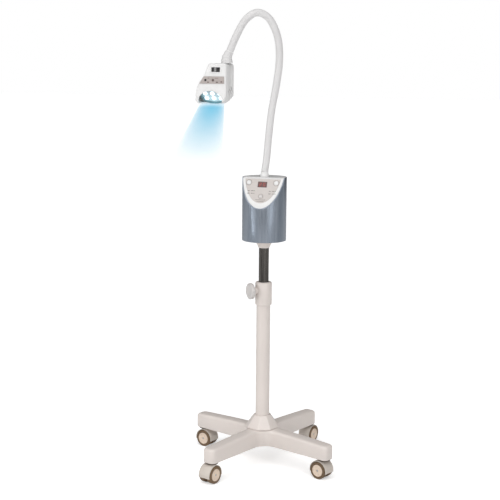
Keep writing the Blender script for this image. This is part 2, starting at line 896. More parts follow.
def slabTool(low, high, top=0.5, bottom=-0.5, width=0.4):
    # a block in the slanted face's own directions, between two depths
    slab = blockPiece("slab", (width, top - bottom, high - low), (0, (top + bottom) / 2, (low + high) / 2))
    settle(slab, panelPlace)
    return slab


def makeBox():
    shape = boxShape
    outer, inner, low, top = shape["radius"], shape["radius"] - shape["wall"], shape["bottom"], shape["top"]
    shell = turnPiece(
        "boxShell",
        [
            (inner, low),
            (outer - 0.0005, low),
            (outer, low + 0.0005),
            (outer, top),
            (inner, top),
            (inner, low),
        ],
        128,
        True,
    )
    boolean(shell, slabTool(0.0, 0.3, 0.0, -0.5))
    rearHole = blockPiece("rearHole", (0.0486, 0.030, 0.0646), (0, 0.0645, 0.705))
    boolean(shell, rearHole)
    soften(shell, 0.0006, 2, 40)
    smooth(shell, 35)
    finish(shell, "box", boxMetal, "brushed_box", "box_shell")
    # white rim round the slanted face, with a seat for the grey membrane
    bezel = turnPiece("panelRim", [(inner - 0.0003, low + 0.05), (inner - 0.0003, top + 0.03)], 128)
    boolean(bezel, slabTool(-0.005, 0.0012, -0.0042, -0.5), "INTERSECT")
    seat = turnPiece(
        "seat",
        [(inner - 0.0003 - shape["rim"] + 0.0003, low), (inner - 0.0003 - shape["rim"] + 0.0003, top + 0.1)],
        128,
    )
    boolean(seat, slabTool(-0.0009, 0.01, -0.0055, -0.5), "INTERSECT")
    boolean(bezel, seat)
    return bezel, inner


panelRim, boxInner = makeBox()


def inPanel(x, y, z=0.0):
    return panelPlace @ Matrix.Translation((x, y, z))


panelShape = {
    "radius": boxInner - 0.0003 - boxShape["rim"],
    "top": -0.0058,
    "thick": 0.0020,
    "face": 0.0014,
}
buttonSpots = {
    "left": (-0.0395, -0.0173, 0.0065),
    "right": (0.0395, -0.0173, 0.0065),
    "centre": (0.0, -0.0590, 0.0050),
}
windowShape = {"width": 0.026, "height": 0.017, "x": 0.0, "y": -0.0225}


def makePanel():
    shape = panelShape
    panel = turnPiece("panelMembrane", [(shape["radius"], 0.68), (shape["radius"], 0.90)], 128)
    boolean(panel, slabTool(shape["face"] - shape["thick"], shape["face"], shape["top"], -0.5), "INTERSECT")
    for x, y, radius in buttonSpots.values():
        for target in (panel, panelRim):
            hole = turnPiece("hole", [(radius + 0.0004, -0.02), (radius + 0.0004, 0.02)], 48)
            settle(hole, inPanel(x, y))
            boolean(target, hole)
    for target in (panel, panelRim):
        hole = blockPiece("hole", (windowShape["width"] + 0.0006, windowShape["height"] + 0.0006, 0.05))
        settle(hole, inPanel(windowShape["x"], windowShape["y"]))
        boolean(target, hole)
    soften(panel, 0.0004, 2, 40)
    smooth(panel, 35)
    finish(panel, "box", panelSkin, "panel_grey", "control_panel")
    soften(panelRim, 0.0007, 3, 40)
    smooth(panelRim, 35)
    finish(panelRim, "box", whitePlastic, "white_plastic", "panel_bezel")


makePanel()


def makePanelButtons():
    depth = -0.0122
    proud = panelShape["thick"] + 0.0014
    for name, (x, y, radius) in buttonSpots.items():
        profile = [
            (radius * 0.5, depth),
            (radius * 0.5, -0.008),
            (radius, -0.008),
            (radius, proud - 0.0016),
            (radius * 0.97, proud - 0.0011),
            (radius * 0.86, proud - 0.0005),
            (radius * 0.68, proud - 0.0001),
            (radius * 0.45, proud + 0.0002),
            (radius * 0.20, proud + 0.0003),
            (0.0003, proud + 0.0003),
        ]
        button = turnPiece("panelButton" + name.capitalize(), profile, 48)
        settle(button, inPanel(x, y))
        smooth(button, 40)
        finish(
            button,
            "panel_button_" + name,
            keyGrey if name == "centre" else whitePlastic,
            "white_plastic",
            "button_" + name,
        )
        # raised printed ring round each button
        ringRadius = radius + 0.0019
        face = panelShape["face"]
        ring = turnPiece(
            "buttonRing" + name.capitalize(),
            [
                (ringRadius - 0.0005, face),
                (ringRadius + 0.0005, face),
                (ringRadius + 0.0005, face + 0.0002),
                (ringRadius - 0.0005, face + 0.0002),
                (ringRadius - 0.0005, face),
            ],
            56,
            True,
        )
        settle(ring, inPanel(x, y))
        finish(ring, "box", ringPrint, "panel_grey")


makePanelButtons()


def printMark(name, x, y, width, height, material=None, rise=0.0002):
    mark = blockPiece(name, (width, height, rise), (0, 0, panelShape["face"] + rise / 2))
    settle(mark, inPanel(x, y))
    return finish(mark, "box", material or panelPrint, "panel_grey")


def makePanelMarks():
    # plain bars stand where a maker's captions would be
    for side in (-1, 1):
        for row, widths in enumerate(((0.0052, 0.0070), (0.0064, 0.0048))):
            start = side * 0.0305
            y = -0.0425 - 0.0080 * row
            x = start - 0.0065
            for index, width in enumerate(widths):
                printMark(
                    "caption%s%d%d" % ("Left" if side < 0 else "Right", row, index),
                    x,
                    y,
                    width,
                    0.0016,
                )
                x += 0.0100
            lamp = turnPiece(
                "statusLamp",
                [(0.0011, 0.0), (0.0011, 0.0005), (0.0007, 0.0009), (0.0002, 0.0010)],
                24,
            )
            settle(lamp, inPanel(start + 0.0095, y, panelShape["face"]))
            smooth(lamp)
            lamp.name = "statusLamp%s%d" % ("Left" if side < 0 else "Right", row)
            finish(lamp, "box", lampGreen if row == 0 else panelPrint, "panel_grey")
    for index in range(2):
        printMark("footLine%d" % index, 0.0, -0.0695 - 0.0050 * index, 0.028 - 0.008 * index, 0.0010)


makePanelMarks()


def digitBars(name, x, y, size, depth, matrix, body, slot, lit="abcdefg"):
    # seven plain bars of one numeral
    w, h, bar = size * 0.5, size, size * 0.12
    places = {
        "a": (0, h / 2, w * 0.8, bar),
        "g": (0, 0, w * 0.8, bar),
        "d": (0, -h / 2, w * 0.8, bar),
        "b": (w / 2, h / 4, bar, h * 0.38),
        "c": (w / 2, -h / 4, bar, h * 0.38),
        "e": (-w / 2, -h / 4, bar, h * 0.38),
        "f": (-w / 2, h / 4, bar, h * 0.38),
    }
    bars = []
    for label in lit:
        dx, dy, bw, bh = places[label]
        bars.append(blockPiece(name + label, (bw, bh, 0.0003), (x + dx, y + dy, depth)))
    digit = joinPieces(name, bars)
    settle(digit, matrix)
    return finish(digit, body, digitRed, slot)


def makeWindow():
    shape = windowShape
    deep = 0.012
    top = panelShape["thick"] - 0.0004
    window = blockPiece(
        "timeWindow",
        (shape["width"], shape["height"], deep),
        (0, 0, top - deep / 2),
        0.0006,
        3,
    )
    settle(window, inPanel(shape["x"], shape["y"]))
    smooth(window)
    finish(window, "box", windowGlass, "dark_window", "display_window")
    place_ = inPanel(shape["x"], shape["y"])
    digitBars("timeDigitTens", -0.0052, 0.0, 0.0088, top + 0.00016, place_, "box", "dark_window", "abged")
    digitBars("timeDigitOnes", 0.0052, 0.0, 0.0088, top + 0.00016, place_, "box", "dark_window", "abcdef")


makeWindow()


def makeTopAndBottom():
    shape = boxShape
    top, low = shape["top"], shape["bottom"]
    cap = turnPiece("topCap", [(boxInner - 0.0003, top - 0.004), (boxInner - 0.0003, top)], 128)
    trim = blockPiece("trim", (0.3, 0.2, 0.05), (0, -0.1 - shape["chord"] + 0.0008, top))
    boolean(cap, trim)
    hole = turnPiece("hole", [(0.0083, top - 0.02), (0.0083, top + 0.02)], 48)
    boolean(cap, hole)
    for angle in (30, 90, 150):
        sink = turnPiece("sink", [(0.0030, top - 0.0008), (0.0030, top + 0.01)], 32)
        settle(sink, Matrix.Translation((0.052 * cos(radians(angle)), 0.052 * sin(radians(angle)), 0)))
        boolean(cap, sink)
    soften(cap, 0.0005, 2, 40)
    smooth(cap, 35)
    finish(cap, "box", whitePlastic, "white_plastic", "top_cap")
    for index, angle in enumerate((30, 90, 150)):
        screw = makeScrewHead("capScrew%d" % index, 0.0027)
        settle(
            screw,
            Matrix.Translation((0.052 * cos(radians(angle)), 0.052 * sin(radians(angle)), top - 0.0008)),
        )
        finish(screw, "box", zincSteel, "plain_steel")
    profile = [
        (0.0083, low + 0.0003),
        (boxInner - 0.0010, low + 0.0003),
        (boxInner - 0.0003, low + 0.0010),
        (boxInner - 0.0003, low + 0.004),
        (0.0130, low + 0.004),
        (0.0130, low + 0.010),
        (0.0083, low + 0.010),
        (0.0083, low + 0.0003),
    ]
    bottom = turnPiece("bottomCap", profile, 96, True)
    for index in range(9):
        slot = blockPiece("slot", (0.0020, 0.016, 0.02), ((index - 4) * 0.0048, -0.042, low))
        boolean(bottom, slot)
    for angle in (45, 135, 225, 315):
        sink = turnPiece("sink", [(0.0032, low - 0.01), (0.0032, low + 0.0012)], 32)
        settle(sink, Matrix.Translation((0.050 * cos(radians(angle)), 0.050 * sin(radians(angle)), 0)))
        boolean(bottom, sink)
    smooth(bottom, 35)
    finish(bottom, "box", warmPaint, "warm_paint", "box_bottom_cap")
    for index, angle in enumerate((45, 135, 225, 315)):
        screw = makeScrewHead("bottomScrew%d" % index, 0.0029)
        settle(
            screw,
            Matrix.Translation(
                (0.050 * cos(radians(angle)), 0.050 * sin(radians(angle)), low + 0.0012),
            ) @ Matrix.Rotation(pi, 4, "X"),
        )
        finish(screw, "box", zincSteel, "plain_steel")


def makeScrewHead(name, radius):
    # low pan head with a cross recess, standing on z = 0
    screw = turnPiece(
        name,
        [
            (radius, 0.0),
            (radius, 0.0003),
            (radius * 0.86, 0.0006),
            (radius * 0.5, 0.00078),
            (radius * 0.1, 0.0008),
        ],
        32,
    )
    for turn in (0, 90):
        slot = blockPiece("slot", (radius * 1.1, radius * 0.22, 0.001), (0, 0, 0.0008))
        settle(slot, Matrix.Rotation(radians(turn), 4, "Z"))
        boolean(screw, slot)
    smooth(screw, 40)
    return screw


makeTopAndBottom()


def makeRearPlate():
    middle, front = 0.705, 0.0645
    plate = blockPiece("servicePlate", (0.048, 0.011, 0.064), (0, front - 0.0055, middle), 0.0012, 3)
    for size, z in (((0.0276, 0.05, 0.0206), middle - 0.015), ((0.0142, 0.05, 0.0202), middle + 0.018)):
        hole = blockPiece("hole", size, (0, front, z))
        boolean(plate, hole)
    for x in (-0.0205, 0.0205):
        for z in (-0.0285, 0.0285):
            sink = turnPiece("sink", [(0.0022, front - 0.0008), (0.0022, front + 0.01)], 24)
            settle(sink, Matrix.Translation((x, 0, middle + z)) @ Matrix.Rotation(-pi / 2, 4, "X"))
            boolean(plate, sink)
    smooth(plate, 40)
    finish(plate, "box", blackPlastic, "black_plastic", "rear_plate")
    count = 0
    for x in (-0.0205, 0.0205):
        for z in (-0.0285, 0.0285):
            screw = makeScrewHead("plateScrew%d" % count, 0.0019)
            settle(
                screw,
                Matrix.Translation((x, front - 0.0008, middle + z)) @ Matrix.Rotation(-pi / 2, 4, "X"),
            )
            finish(screw, "box", zincSteel, "plain_steel")
            count += 1
    inlet = blockPiece(
        "mainsInlet",
        (0.027, 0.024, 0.020),
        (0, front + 0.001 - 0.012, middle - 0.015),
        0.0006,
        2,
    )
    mouth = blockPiece("mouth", (0.023, 0.036, 0.016), (0, front + 0.001, middle - 0.015))
    boolean(inlet, mouth)
    pins = []
    for x, z in ((-0.007, -0.002), (0.0, 0.002), (0.007, -0.002)):
        pin = blockPiece(
            "inletPin",
            (0.002, 0.016, 0.004),
            (x, front + 0.001 - 0.0125, middle - 0.015 + z),
            0.0005,
            2,
        )
        pins.append(pin)
    smooth(inlet, 40)
    finish(inlet, "box", blackPlastic, "black_plastic", "mains_inlet")
    pinSet = joinPieces("inletPins", pins)
    smooth(pinSet, 40)
    finish(pinSet, "box", zincSteel, "plain_steel")
    pivot = (0, front - 0.001, middle + 0.018)
    outline = [
        (-0.0095, 0.0030),
        (-0.0077, -0.0075),
        (0.0077, -0.0075),
        (0.0095, 0.0030),
        (0.0048, 0.0014),
        (0.0, 0.0008),
        (-0.0048, 0.0014),
    ]
    rocker = outlinePiece("rockerKey", [(y, z) for z, y in outline], 0.013, "Z", -0.0065)
    soften(rocker, 0.0006, 2, 40)
    settle(
        rocker,
        Matrix.Translation(pivot) @ Matrix(((0, 0, 1, 0), (1, 0, 0, 0), (0, 1, 0, 0), (0, 0, 0, 1))),
    )
    cleanNormals(rocker)
    smooth(rocker, 30)
    finish(rocker, "rocker", blackPlastic, "black_plastic", "rocker_switch")


makeRearPlate()
print("control box made")

# gooseneck
neckShape = {
    "radius": 0.0103,
    "plane": 14.5,
    "top": 0.8385,
    "ferrule": 0.016,
    "sides": 40,
    "breaks": (0.12, 0.34, 0.58, 0.80),
    "cuts": (0.0, 0.23, 0.46, 0.69, 1.0),
    "bendReach": 0.034,
}
neckRoute = [
    (0.000, 0.8385 + 0.016 + 0.0003),
    (0.005, 0.890),
    (0.010, 0.950),
    (0.018, 1.025),
    (0.031, 1.100),
    (0.038, 1.165),
    (0.033, 1.225),
    (0.010, 1.276),
    (-0.024, 1.294),
    (-0.056, 1.275),
    (-0.080, 1.235),
    (-0.100, 1.1883),
]
neckAcross = Vector((cos(radians(neckShape["plane"])), sin(radians(neckShape["plane"])), 0))


def routePoint(position):
    # smooth curve through the route's own points, from 0 at the box to 1 at the head
    spans = len(neckRoute) - 1
    index = min(int(position * spans), spans - 1)
    part = position * spans - index
    before = Vector(neckRoute[max(index - 1, 0)])
    start = Vector(neckRoute[index])
    end = Vector(neckRoute[index + 1])
    after = Vector(neckRoute[min(index + 2, spans)])
    bend = start * 2 + (end - before) * part
    bend += (before * 2 - start * 5 + end * 4 - after) * part**2
    bend += (start * 3 - before - end * 3 + after) * part**3
    return bend / 2


def neckPoint(position):
    here = routePoint(position)
    return neckAcross * here.x + up * here.y


def neckWay(position):
    return (neckPoint(min(position + 0.004, 1.0)) - neckPoint(max(position - 0.004, 0.0))).normalized()


def sweepPiece(name, points, radii, sides=40):
    # a poly curve with a round bevel, turned into a closed mesh
    clearSelection()
    bpy.ops.curve.primitive_nurbs_path_add(location=(0, 0, 0))
    curve = bpy.context.active_object
    curve.name = name
    data = curve.data
    data.splines.clear()
    spline = data.splines.new("POLY")
    spline.points.add(len(points) - 1)
    for index, (point, radius) in enumerate(zip(points, radii)):
        spline.points[index].co = (*point, 1)
        spline.points[index].radius = radius
    data.bevel_depth = 1.0
    data.bevel_resolution = sides // 4 - 1
    data.use_fill_caps = True
    data.twist_mode = "MINIMUM"
    activate(curve)
    bpy.ops.object.convert(target="MESH")
    piece = bpy.context.active_object
    piece.name = name
    piece.data.name = name
    cleanNormals(piece)
    smooth(piece, 50)
    return piece


def makeNeck():
    shape = neckShape
    for index in range(4):
        start, end = shape["cuts"][index], shape["cuts"][index + 1]
        steps = 44
        points = [neckPoint(start + (end - start) * step / steps) for step in range(steps + 1)]
        sleeve = sweepPiece(
            "neckSleeve%d" % (index + 1),
            points,
            [shape["radius"]] * len(points),
            shape["sides"],
        )
        sleeve.data.materials.clear()
        sleeve.data.materials.append(neckSleeve)
        pivot = neckPoint(shape["breaks"][index])
        way = neckWay(shape["breaks"][index])
        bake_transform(sleeve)
        nodes = ["neck_length_%d" % (index + 1)]
        if index == 3:
            nodes.append("neck_length_5")
        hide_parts(*nodes)
    base = shape["top"]
    profile = [
        (0.0079, base - 0.0140),
        (0.0079, base + 0.0003),
        (0.0118, base + 0.0003),
        (0.0123, base + 0.0009),
        (0.0123, base + 0.0062),
        (0.0119, base + 0.0074),
        (0.0112, base + 0.0110),
        (0.0108, base + 0.0150),
        (0.0104, base + 0.0160),
    ]
    ferrule = turnPiece("neckFerrule", profile, 64)
    smooth(ferrule, 40)
    finish(ferrule, "box", whitePlastic, "white_plastic", "neck_ferrule")
    # tapered boot: three soft ribs between the neck and the head
    start = neckPoint(1.0) + neckWay(1.0) * 0.0006
    headSpot = neckAcross * -0.108 + up * 1.1556
    points, radii = [], []
    for step in range(33):
        part = step / 32
        smoothPart = part * part * (3 - 2 * part)
        point = start + neckWay(1.0) * ((start.z - headSpot.z) * part / -neckWay(1.0).z)
        point = point.lerp(headSpot + up * ((start.z - headSpot.z) * (1 - part)), smoothPart)
        points.append(point)
        ripple = 0.0004 * cos(part * 2 * pi * 4) if 0.1 < part < 0.85 else 0.0
        radii.append(0.0114 + (0.0160 - 0.0114) * smoothPart + ripple)
    boot = sweepPiece("neckBoot", points, radii, 48)
    finish(boot, "neck_5", neckSleeve, "neck_rubber", "neck_boot")


makeNeck()
print("gooseneck made")

# lamp head, modelled round its own swivel axis with its face towards -Y
headPlace = Matrix.Translation(
    (neckAcross.x * -0.108, neckAcross.y * -0.108, 1.1550),
) @ Matrix.Rotation(radians(-10.5), 4, "Z")
headShape = {
    "depth": 0.052,
    "wall": 0.003,
    "round": 0.0075,
    "seam": 0.004,
    "lensRadius": 0.0225,
    "stretch": 1.62,
    "tilt": 38.0,
    "lensX": -0.0395,
    "lensZ": -0.090,
    "lensBack": 0.020,
    "tailRise": 0.026,
    "tailReach": 0.022,
    "bottom": -0.112,
}
headOutline = [
    (-0.044, 0.000),
    (0.004, 0.000),
    (0.010, -0.006),
    (0.010, -0.094),
    (-0.004, -0.112),
    (-0.080, -0.112),
    (-0.087, -0.104),
    (-0.084, -0.072),
    (-0.074, -0.050),
    (-0.058, -0.032),
    (-0.050, -0.010),
]
lensPlace = headPlace @ Matrix.Translation(
    (headShape["lensX"], -headShape["depth"] / 2 + headShape["lensBack"], headShape["lensZ"]),
) @ Matrix.Rotation(radians(90 + headShape["tilt"]), 4, "X")


def roundedOutline(outline, radius, steps):
    # the outline with each corner turned into an arc
    points = []
    count = len(outline)
    for index in range(count):
        before = Vector(outline[index - 1])
        here = Vector(outline[index])
        after = Vector(outline[(index + 1) % count])
        reach = min(radius, (before - here).length * 0.48, (after - here).length * 0.48)
        first = here + (before - here).normalized() * reach
        last = here + (after - here).normalized() * reach
        for step in range(steps + 1):
            part = step / steps
            points.append(tuple(first * (1 - part) ** 2 + here * 2 * part * (1 - part) + last * part**2))
    return points


def ovalTool(name, radius, low, high, sides=72):
    tool = turnPiece(name, [(radius, low), (radius, high)], sides)
    settle(tool, Matrix.Diagonal((headShape["stretch"], 1, 1, 1)))
    settle(tool, lensPlace)
    return tool


def tailTool(wall):
    # slanted block that takes off the lower rear edge
    shape = headShape
    block = blockPiece("tail", (0.3, 0.1, 0.1), (0, 0, wall - 0.05))
    turn = Matrix.Rotation(atan2(shape["tailRise"], shape["tailReach"]), 4, "X")
    settle(block, Matrix.Translation((0, shape["depth"] / 2 - shape["tailReach"], shape["bottom"])) @ turn)
    return block


def makeHeadShells():
    shape = headShape
    outline = roundedOutline(headOutline, 0.012, 4)
    for name, side in (("headFront", -1), ("headRear", 1)):
        seam = shape["seam"] + side * 0.00015
        face = side * shape["depth"] / 2
        shell = outlinePiece(name, outline, face - seam, "Y", seam)
        enterEdit(shell)
        mesh = bmesh.from_edit_mesh(shell.data)
        for edge in mesh.edges:
            edge.select = all(abs(vert.co.y - face) < 1e-5 for vert in edge.verts)
        bpy.ops.mesh.bevel(offset=shape["round"], segments=6, affect="EDGES", clamp_overlap=True)
        mesh = bmesh.from_edit_mesh(shell.data)
        bpy.ops.mesh.select_all(action="DESELECT")
        for edge in mesh.edges:
            edge.select = all(abs(vert.co.y - seam) < 1e-5 for vert in edge.verts)
        bpy.ops.mesh.bevel(offset=0.0004, segments=2, affect="EDGES", clamp_overlap=True)
        leaveEdit()
        hollow = outlinePiece("hollow", headOutline, side * -0.08, "Y", face - side * shape["wall"])
        inwards = Matrix.Diagonal((0.93, 1, 0.945, 1))
        settle(
            hollow,
            Matrix.Translation((-0.0385, 0, -0.056)) @ inwards @ Matrix.Translation((0.0385, 0, 0.056)),
        )
        cleanNormals(hollow)
        boolean(hollow, tailTool(shape["wall"]))
        boolean(shell, tailTool(0.0))
        boolean(shell, hollow)
        settle(shell, headPlace)
        boolean(shell, ovalTool("lensHole", shape["lensRadius"] + 0.0003, -0.0041, 0.08))
        pivotHole = turnPiece("pivotHole", [(0.0063, -0.02), (0.0063, 0.02)], 40)
        settle(pivotHole, headPlace)
        boolean(shell, pivotHole)
        shells[name] = shell


shells = {}
makeHeadShells()
headFace = -headShape["depth"] / 2


def inHead(x, y, z, turn=0.0):
    return headPlace @ Matrix.Translation((x, y, z)) @ Matrix.Rotation(radians(turn), 4, "X")


headButtons = ((-0.0535, 0.0030), (-0.030, 0.0034))
headFaceShape = {
    "buttonHeight": -0.0465,
    "buttonGap": 0.0004,
    "showSize": (0.026, 0.0125),
    "showSpot": (-0.0215, -0.0175),
    "frameSize": (0.0345, 0.0205),
    "slotSize": (0.012, 0.0032, 0.020),
    "slotTurn": 40,
    "slotSides": (0.010, -0.079),
    "slotStart": (-0.0045, -0.083),
    "slotStep": (0.008, 0.006),
    "screenSides": (0.0035, -0.0725),
    "screenSize": (0.0010, 0.030, 0.034),
    "screenSpot": (0.0035, -0.077),
}


def headHole(radius):
    reach = radius + headFaceShape["buttonGap"]
    return turnPiece("hole", [(reach, -0.03), (reach, 0.03)], 32)


def makeHeadFace():
    shape = headFaceShape
    front, rear = shells["headFront"], shells["headRear"]
    showSize, showSpot = shape["showSize"], shape["showSpot"]
    buttonHeight = shape["buttonHeight"]
    hole = blockPiece("hole", (showSize[0] + 0.0006, 0.02, showSize[1] + 0.0006))
    settle(hole, inHead(showSpot[0], headFace, showSpot[1]))
    boolean(front, hole)
    strip = [(-0.0585, -0.0365), (0.0040, -0.0365), (0.0040, -0.0560), (-0.0725, -0.0560)]
    grown = [(-0.0588, -0.0362), (0.0043, -0.0362), (0.0043, -0.0563), (-0.0729, -0.0563)]
    seat = outlinePiece("seat", grown, 0.02, "Y", headFace - 0.0192)
    settle(seat, headPlace)
    boolean(front, seat)
    for x, radius in headButtons:
        hole = headHole(radius)
        settle(hole, inHead(x, headFace, buttonHeight, 90))
        boolean(front, hole)
    for across in shape["slotSides"]:
        for index in range(3):
            slot = blockPiece("slot", shape["slotSize"], (0, 0, 0), 0.0012, 3)
            y, z = (start + step * index for start, step in zip(shape["slotStart"], shape["slotStep"]))
            settle(slot, inHead(across, y, z, shape["slotTurn"]))
            boolean(front, slot, keepTool=True)
            boolean(rear, slot)
    # dark screens behind the louvres
    for across in shape["screenSides"]:
        screen = blockPiece("ventScreen%d" % (across > 0), shape["screenSize"], (0, 0, 0), 0.0002, 1)
        settle(screen, inHead(across, *shape["screenSpot"], shape["slotTurn"]))
        finish(screen, "head", blackPlastic, "black_plastic")
    for shell, nodeName in ((front, "head_front"), (rear, "head_rear")):
        soften(shell, 0.0004, 2, 50)
        smooth(shell, 40)
        finish(shell, "head", whitePlastic, "white_plastic", nodeName)
    frameHole = blockPiece("hole", (showSize[0] + 0.0006, 0.02, showSize[1] + 0.0006))
    frameSize = (shape["frameSize"][0], 0.0016, shape["frameSize"][1])
    displayFrame = blockPiece("displayFrame", frameSize, (0, -0.0002, 0), 0.0007, 2)
    boolean(displayFrame, frameHole)
    settle(displayFrame, inHead(showSpot[0], headFace, showSpot[1]))
    smooth(displayFrame, 35)
    finish(displayFrame, "head", whitePlastic, "white_plastic")
    show = blockPiece("headWindow", (showSize[0], 0.0035, showSize[1]), (0, 0.0008, 0), 0.0005, 2)
    settle(show, inHead(showSpot[0], headFace, showSpot[1]))
    smooth(show)
    finish(show, "head", blackGlass, "dark_window", "head_display")
    keypad = outlinePiece("controlStrip", strip, 0.0016, "Y", headFace - 0.0011)
    for x, radius in headButtons:
        hole = headHole(radius)
        settle(hole, Matrix.Translation((x, headFace, buttonHeight)) @ Matrix.Rotation(pi / 2, 4, "X"))
        boolean(keypad, hole)
    soften(keypad, 0.0003, 2, 40)
    settle(keypad, headPlace)
    smooth(keypad, 35)
    finish(keypad, "head", stripSkin, "panel_grey", "control_strip")
    for name, (x, radius) in zip(("power", "mode"), headButtons):
        button = turnPiece(
            "headButton" + name.capitalize(),
            [
                (radius, -0.0065),
                (radius, 0.0014),
                (radius - 0.0003, 0.0019),
                (radius - 0.0010, 0.0022),
                (radius * 0.3, 0.0020),
            ],
            32,
        )
        settle(button, inHead(x, headFace, buttonHeight, 90))
        smooth(button, 40)
        finish(
            button,
            name + "_button",
            blackPlastic if name == "power" else stripPrint,
            "black_plastic",
            "head_button_" + name,
        )


makeHeadFace()


def makeHeadMarks():
    # plain bars and dots on the control strip, where the maker's captions would be
    spots = (
        (-0.0450, -0.0520, 0.0058, 0.0026),
        (-0.0175, -0.0520, 0.0060, 0.0030),
        (-0.0035, -0.0510, 0.0056, 0.0030),
        (-0.0190, -0.0410, 0.0100, 0.0012),
        (-0.0440, -0.0410, 0.0060, 0.0012),
    )
    for index, (x, z, width, height) in enumerate(spots):
        mark = blockPiece(
            "stripMark%d" % index,
            (width, 0.0004, height),
            (x, headFace - 0.0012, z),
            0.00015,
            1,
        )
        settle(mark, headPlace)
        finish(mark, "head", stripPrint, "panel_grey")


makeHeadMarks()


def makeLens():
    shape = headShape
    plate = turnPiece(
        "lensArray",
        [(shape["lensRadius"], -0.003), (shape["lensRadius"], -0.0004), (shape["lensRadius"] - 0.0004, 0.0)],
        96,
    )
    settle(plate, Matrix.Diagonal((shape["stretch"], 1, 1, 1)))
    settle(plate, lensPlace)
    smooth(plate, 35)
    finish(plate, "head", lensWell, "blue_lens", "lens_array")
    radius = shape["lensRadius"]
    liner = turnPiece(
        "lampLiner",
        [
            (radius - 0.0014, 0.0002),
            (radius - 0.0001, 0.0002),
            (radius - 0.0001, 0.0068),
            (radius - 0.0007, 0.0072),
            (radius - 0.0014, 0.0066),
            (radius - 0.0014, 0.0002),
        ],
        96,
        True,
    )
    settle(liner, Matrix.Diagonal((shape["stretch"], 1, 1, 1)))
    settle(liner, lensPlace)
    smooth(liner, 40)
    finish(liner, "head", linerGrey, "black_plastic")
    for index, (x, y) in enumerate(
        [(across * 0.0225, row * 0.0085) for row in (-1, 1) for across in (-1, 0, 1)]
    ):
        radius = 0.0066
        profile = [(radius, -0.0004)]
        for step in range(1, 9):
            angle = radians(10 * step)
            profile.append((radius * cos(angle), 0.0046 * sin(angle)))
        lens = turnPiece("ledLens%d" % index, profile, 40)
        settle(lens, lensPlace @ Matrix.Translation((x, y, 0)))
        smooth(lens, 60)
        finish(lens, "head", lensBlue, "blue_lens")


makeLens()
print("lamp head made")

# casters, built once about the swivel and copied to each arm
casterShape = {
    "circle": baseShape["stemCircle"],
    "trail": 0.008,
    "radius": 0.0249,
    "width": 0.016,
    "web": 0.009,
    "hood": 0.0285,
    "hoodWall": 0.0022,
    "axle": 0.003,
    "side": 0.0129,
}
casterHeadings = {
    "front_right": (-24.7, -25.5),
    "rear_right": (65.3, -110.5),
    "rear_left": (155.3, 158.5),
    "front_left": (245.3, 67.5),
}
wheelHeight = 0.025 * cos(pi / 24)


def makeWheelParts():
    half = casterShape["width"] / 2
    radius = wheelHeight
    tread = turnPiece(
        "wheelTread",
        [
            (radius - 0.0074, -half + 0.0006),
            (radius - 0.0018, -half),
            (radius - 0.0005, -half + 0.0007),
            (radius, -half + 0.0024),
            (radius, half - 0.0026),
            (radius - 0.0006, half - 0.0010),
            (radius - 0.0020, half - 0.0002),
            (radius - 0.0038, half),
            (radius - 0.0064, half - 0.0003),
            (radius - 0.0074, half - 0.0014),
            (radius - 0.0074, -half + 0.0006),
        ],
        72,
        True,
    )
    smooth(tread, 40)
    disc = turnPiece(
        "wheelDisc",
        [
            (0.0034, -half + 0.0010),
            (radius - 0.0076, -half + 0.0010),
            (radius - 0.0076, half - 0.0012),
            (radius - 0.0080, half - 0.0003),
            (radius - 0.0088, half),
            (radius - 0.0098, half - 0.0001),
            (radius - 0.0104, half - 0.0011),
            (0.0092, half - 0.0014),
            (0.0088, half - 0.0007),
            (0.0080, half - 0.0005),
            (0.0066, half - 0.0006),
            (0.0062, half - 0.0011),
            (0.0034, half - 0.0011),
            (0.0034, -half + 0.0010),
        ],
        72,
        True,
    )
    # shallow round pockets round the hub face
    for index in range(6):
        angle = 2 * pi * index / 6
        pocket = turnPiece("pocket", [(0.0013, half - 0.0026), (0.0013, half + 0.01)], 20)
        settle(pocket, Matrix.Translation((0.0117 * cos(angle), 0.0117 * sin(angle), 0)))
        boolean(disc, pocket)
    smooth(disc, 35)
    return tread, disc


def makeHood():
    shape = casterShape
    outer, inner = shape["hood"], shape["hood"] - shape["hoodWall"]
    across = 2 * shape["side"] + shape["width"] * 0.72
    outline = []
    for step in range(49):
        angle = radians(-12 + 204 * step / 48)
        outline.append((outer * cos(angle), outer * sin(angle)))
    for step in range(49):
        angle = radians(192 - 204 * step / 48)
        outline.append((inner * cos(angle), inner * sin(angle)))
    hood = outlinePiece("casterHood", outline, across, "Y", -across / 2)
    soften(hood, 0.0007, 2, 40)
    web = [
        (
            ((outer + inner) / 2) * cos(radians(5 + 170 * step / 24)),
            ((outer + inner) / 2) * sin(radians(5 + 170 * step / 24)),
        ) for step in range(25)
    ]
    web += [(-0.010, -0.009), (0.010, -0.009)]
    webPiece = outlinePiece("web", web, shape["web"], "Y", -shape["web"] / 2)
    boolean(hood, webPiece, "UNION")
    settle(hood, Matrix.Translation((-shape["trail"], 0, wheelHeight)))
    bossTop = 0.0577
    profile = [
        (0.0035, wheelHeight + 0.015),
        (0.0035, wheelHeight + 0.0235),
        (0.0118, wheelHeight + 0.0290),
        (0.0125, wheelHeight + 0.0300),
        (0.0125, bossTop - 0.0004),
        (0.0121, bossTop),
        (0.0055, bossTop),
        (0.0055, bossTop + 0.0255),
        (0.0050, bossTop + 0.0260),
    ]
    boss = turnPiece("boss", profile, 48)
    boolean(hood, boss, "UNION")
    axleHole = turnPiece("axleHole", [(0.0033, -0.04), (0.0033, 0.04)], 32)
    settle(axleHole, Matrix.Translation((-shape["trail"], 0, wheelHeight)) @ Matrix.Rotation(pi / 2, 4, "X"))
    boolean(hood, axleHole)
    smooth(hood, 35)
    return hood


